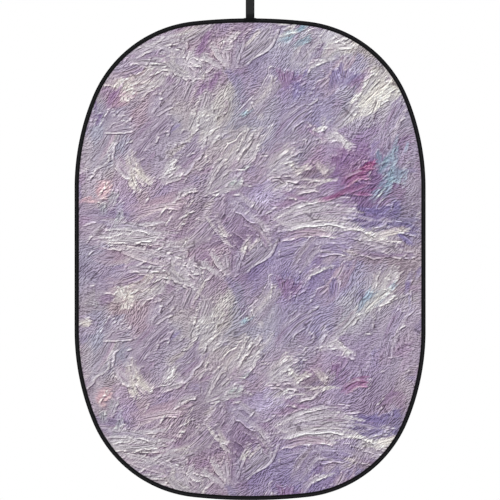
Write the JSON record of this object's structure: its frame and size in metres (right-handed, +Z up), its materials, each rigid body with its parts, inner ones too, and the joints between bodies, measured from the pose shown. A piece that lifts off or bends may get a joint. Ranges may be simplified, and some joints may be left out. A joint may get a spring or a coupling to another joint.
{
  "type": "collapsible backdrop panel",
  "caption": "Oval double-cloth photo backdrop on a sprung steel hoop, bound in black tape, hung from a webbing loop.",
  "frame": {"origin": "on the axis of the crossbar that the hanging loop seats on, midway across the webbing", "axes": "+Z up, +X to the right of someone who faces the printed front, -Y out of the printed front"},
  "size_m": [1.53, 0.0352, 2.3076],
  "materials": {
    "webbing": "woven matt",
    "printed_cloth": "printed, matt",
    "plain_cloth": "plain weave, matt",
    "binding_tape": "woven matt",
    "black_thread": "spun thread",
    "grey_thread": "spun thread",
    "spring_steel": "tempered, lightly oiled",
    "sleeve_steel": "zinc plated",
    "shrink_tube": "heat-shrunk"
  },
  "bodies": {
    "strap": {"hanging_strap": "webbing"},
    "neck": {"strap_neck": "webbing", "strap_box_stitch": "black_thread"},
    "panel_upper": {"strap_tails": "webbing", "strap_anchor_patch": "binding_tape", "patch_stitch": "black_thread", "front_cloth_upper": "printed_cloth", "back_cloth_upper": "plain_cloth", "join_stitch_upper": "grey_thread", "hoop_upper": "spring_steel", "binding_upper": "binding_tape", "binding_stitch_upper": "black_thread"},
    "panel_lower": {"front_cloth_lower": "printed_cloth", "back_cloth_lower": "plain_cloth", "join_stitch_lower": "grey_thread", "hoop_lower": "spring_steel", "binding_lower": "binding_tape", "binding_stitch_lower": "black_thread", "splice_sleeve": "sleeve_steel", "splice_rivets": "sleeve_steel", "splice_wrap": "shrink_tube"}
  },
  "joints": [
    {"name": "turn", "type": "hinge", "parent": "strap", "child": "neck", "pos_m": [0, 0, -0.15], "axis": [0, 0, 1], "range_deg": [-45, 45]},
    {"name": "swing", "type": "hinge", "parent": "neck", "child": "panel_upper", "pos_m": [0, 0, -0.182], "axis": [1, 0, 0], "range_deg": [-60, 60]},
    {"name": "fold", "type": "hinge", "parent": "panel_upper", "child": "panel_lower", "pos_m": [0, -0.008, -1.24], "axis": [-1, 0, 0], "range_deg": [0, 175], "stiffness_Nm_per_rad": 6}
  ]
}
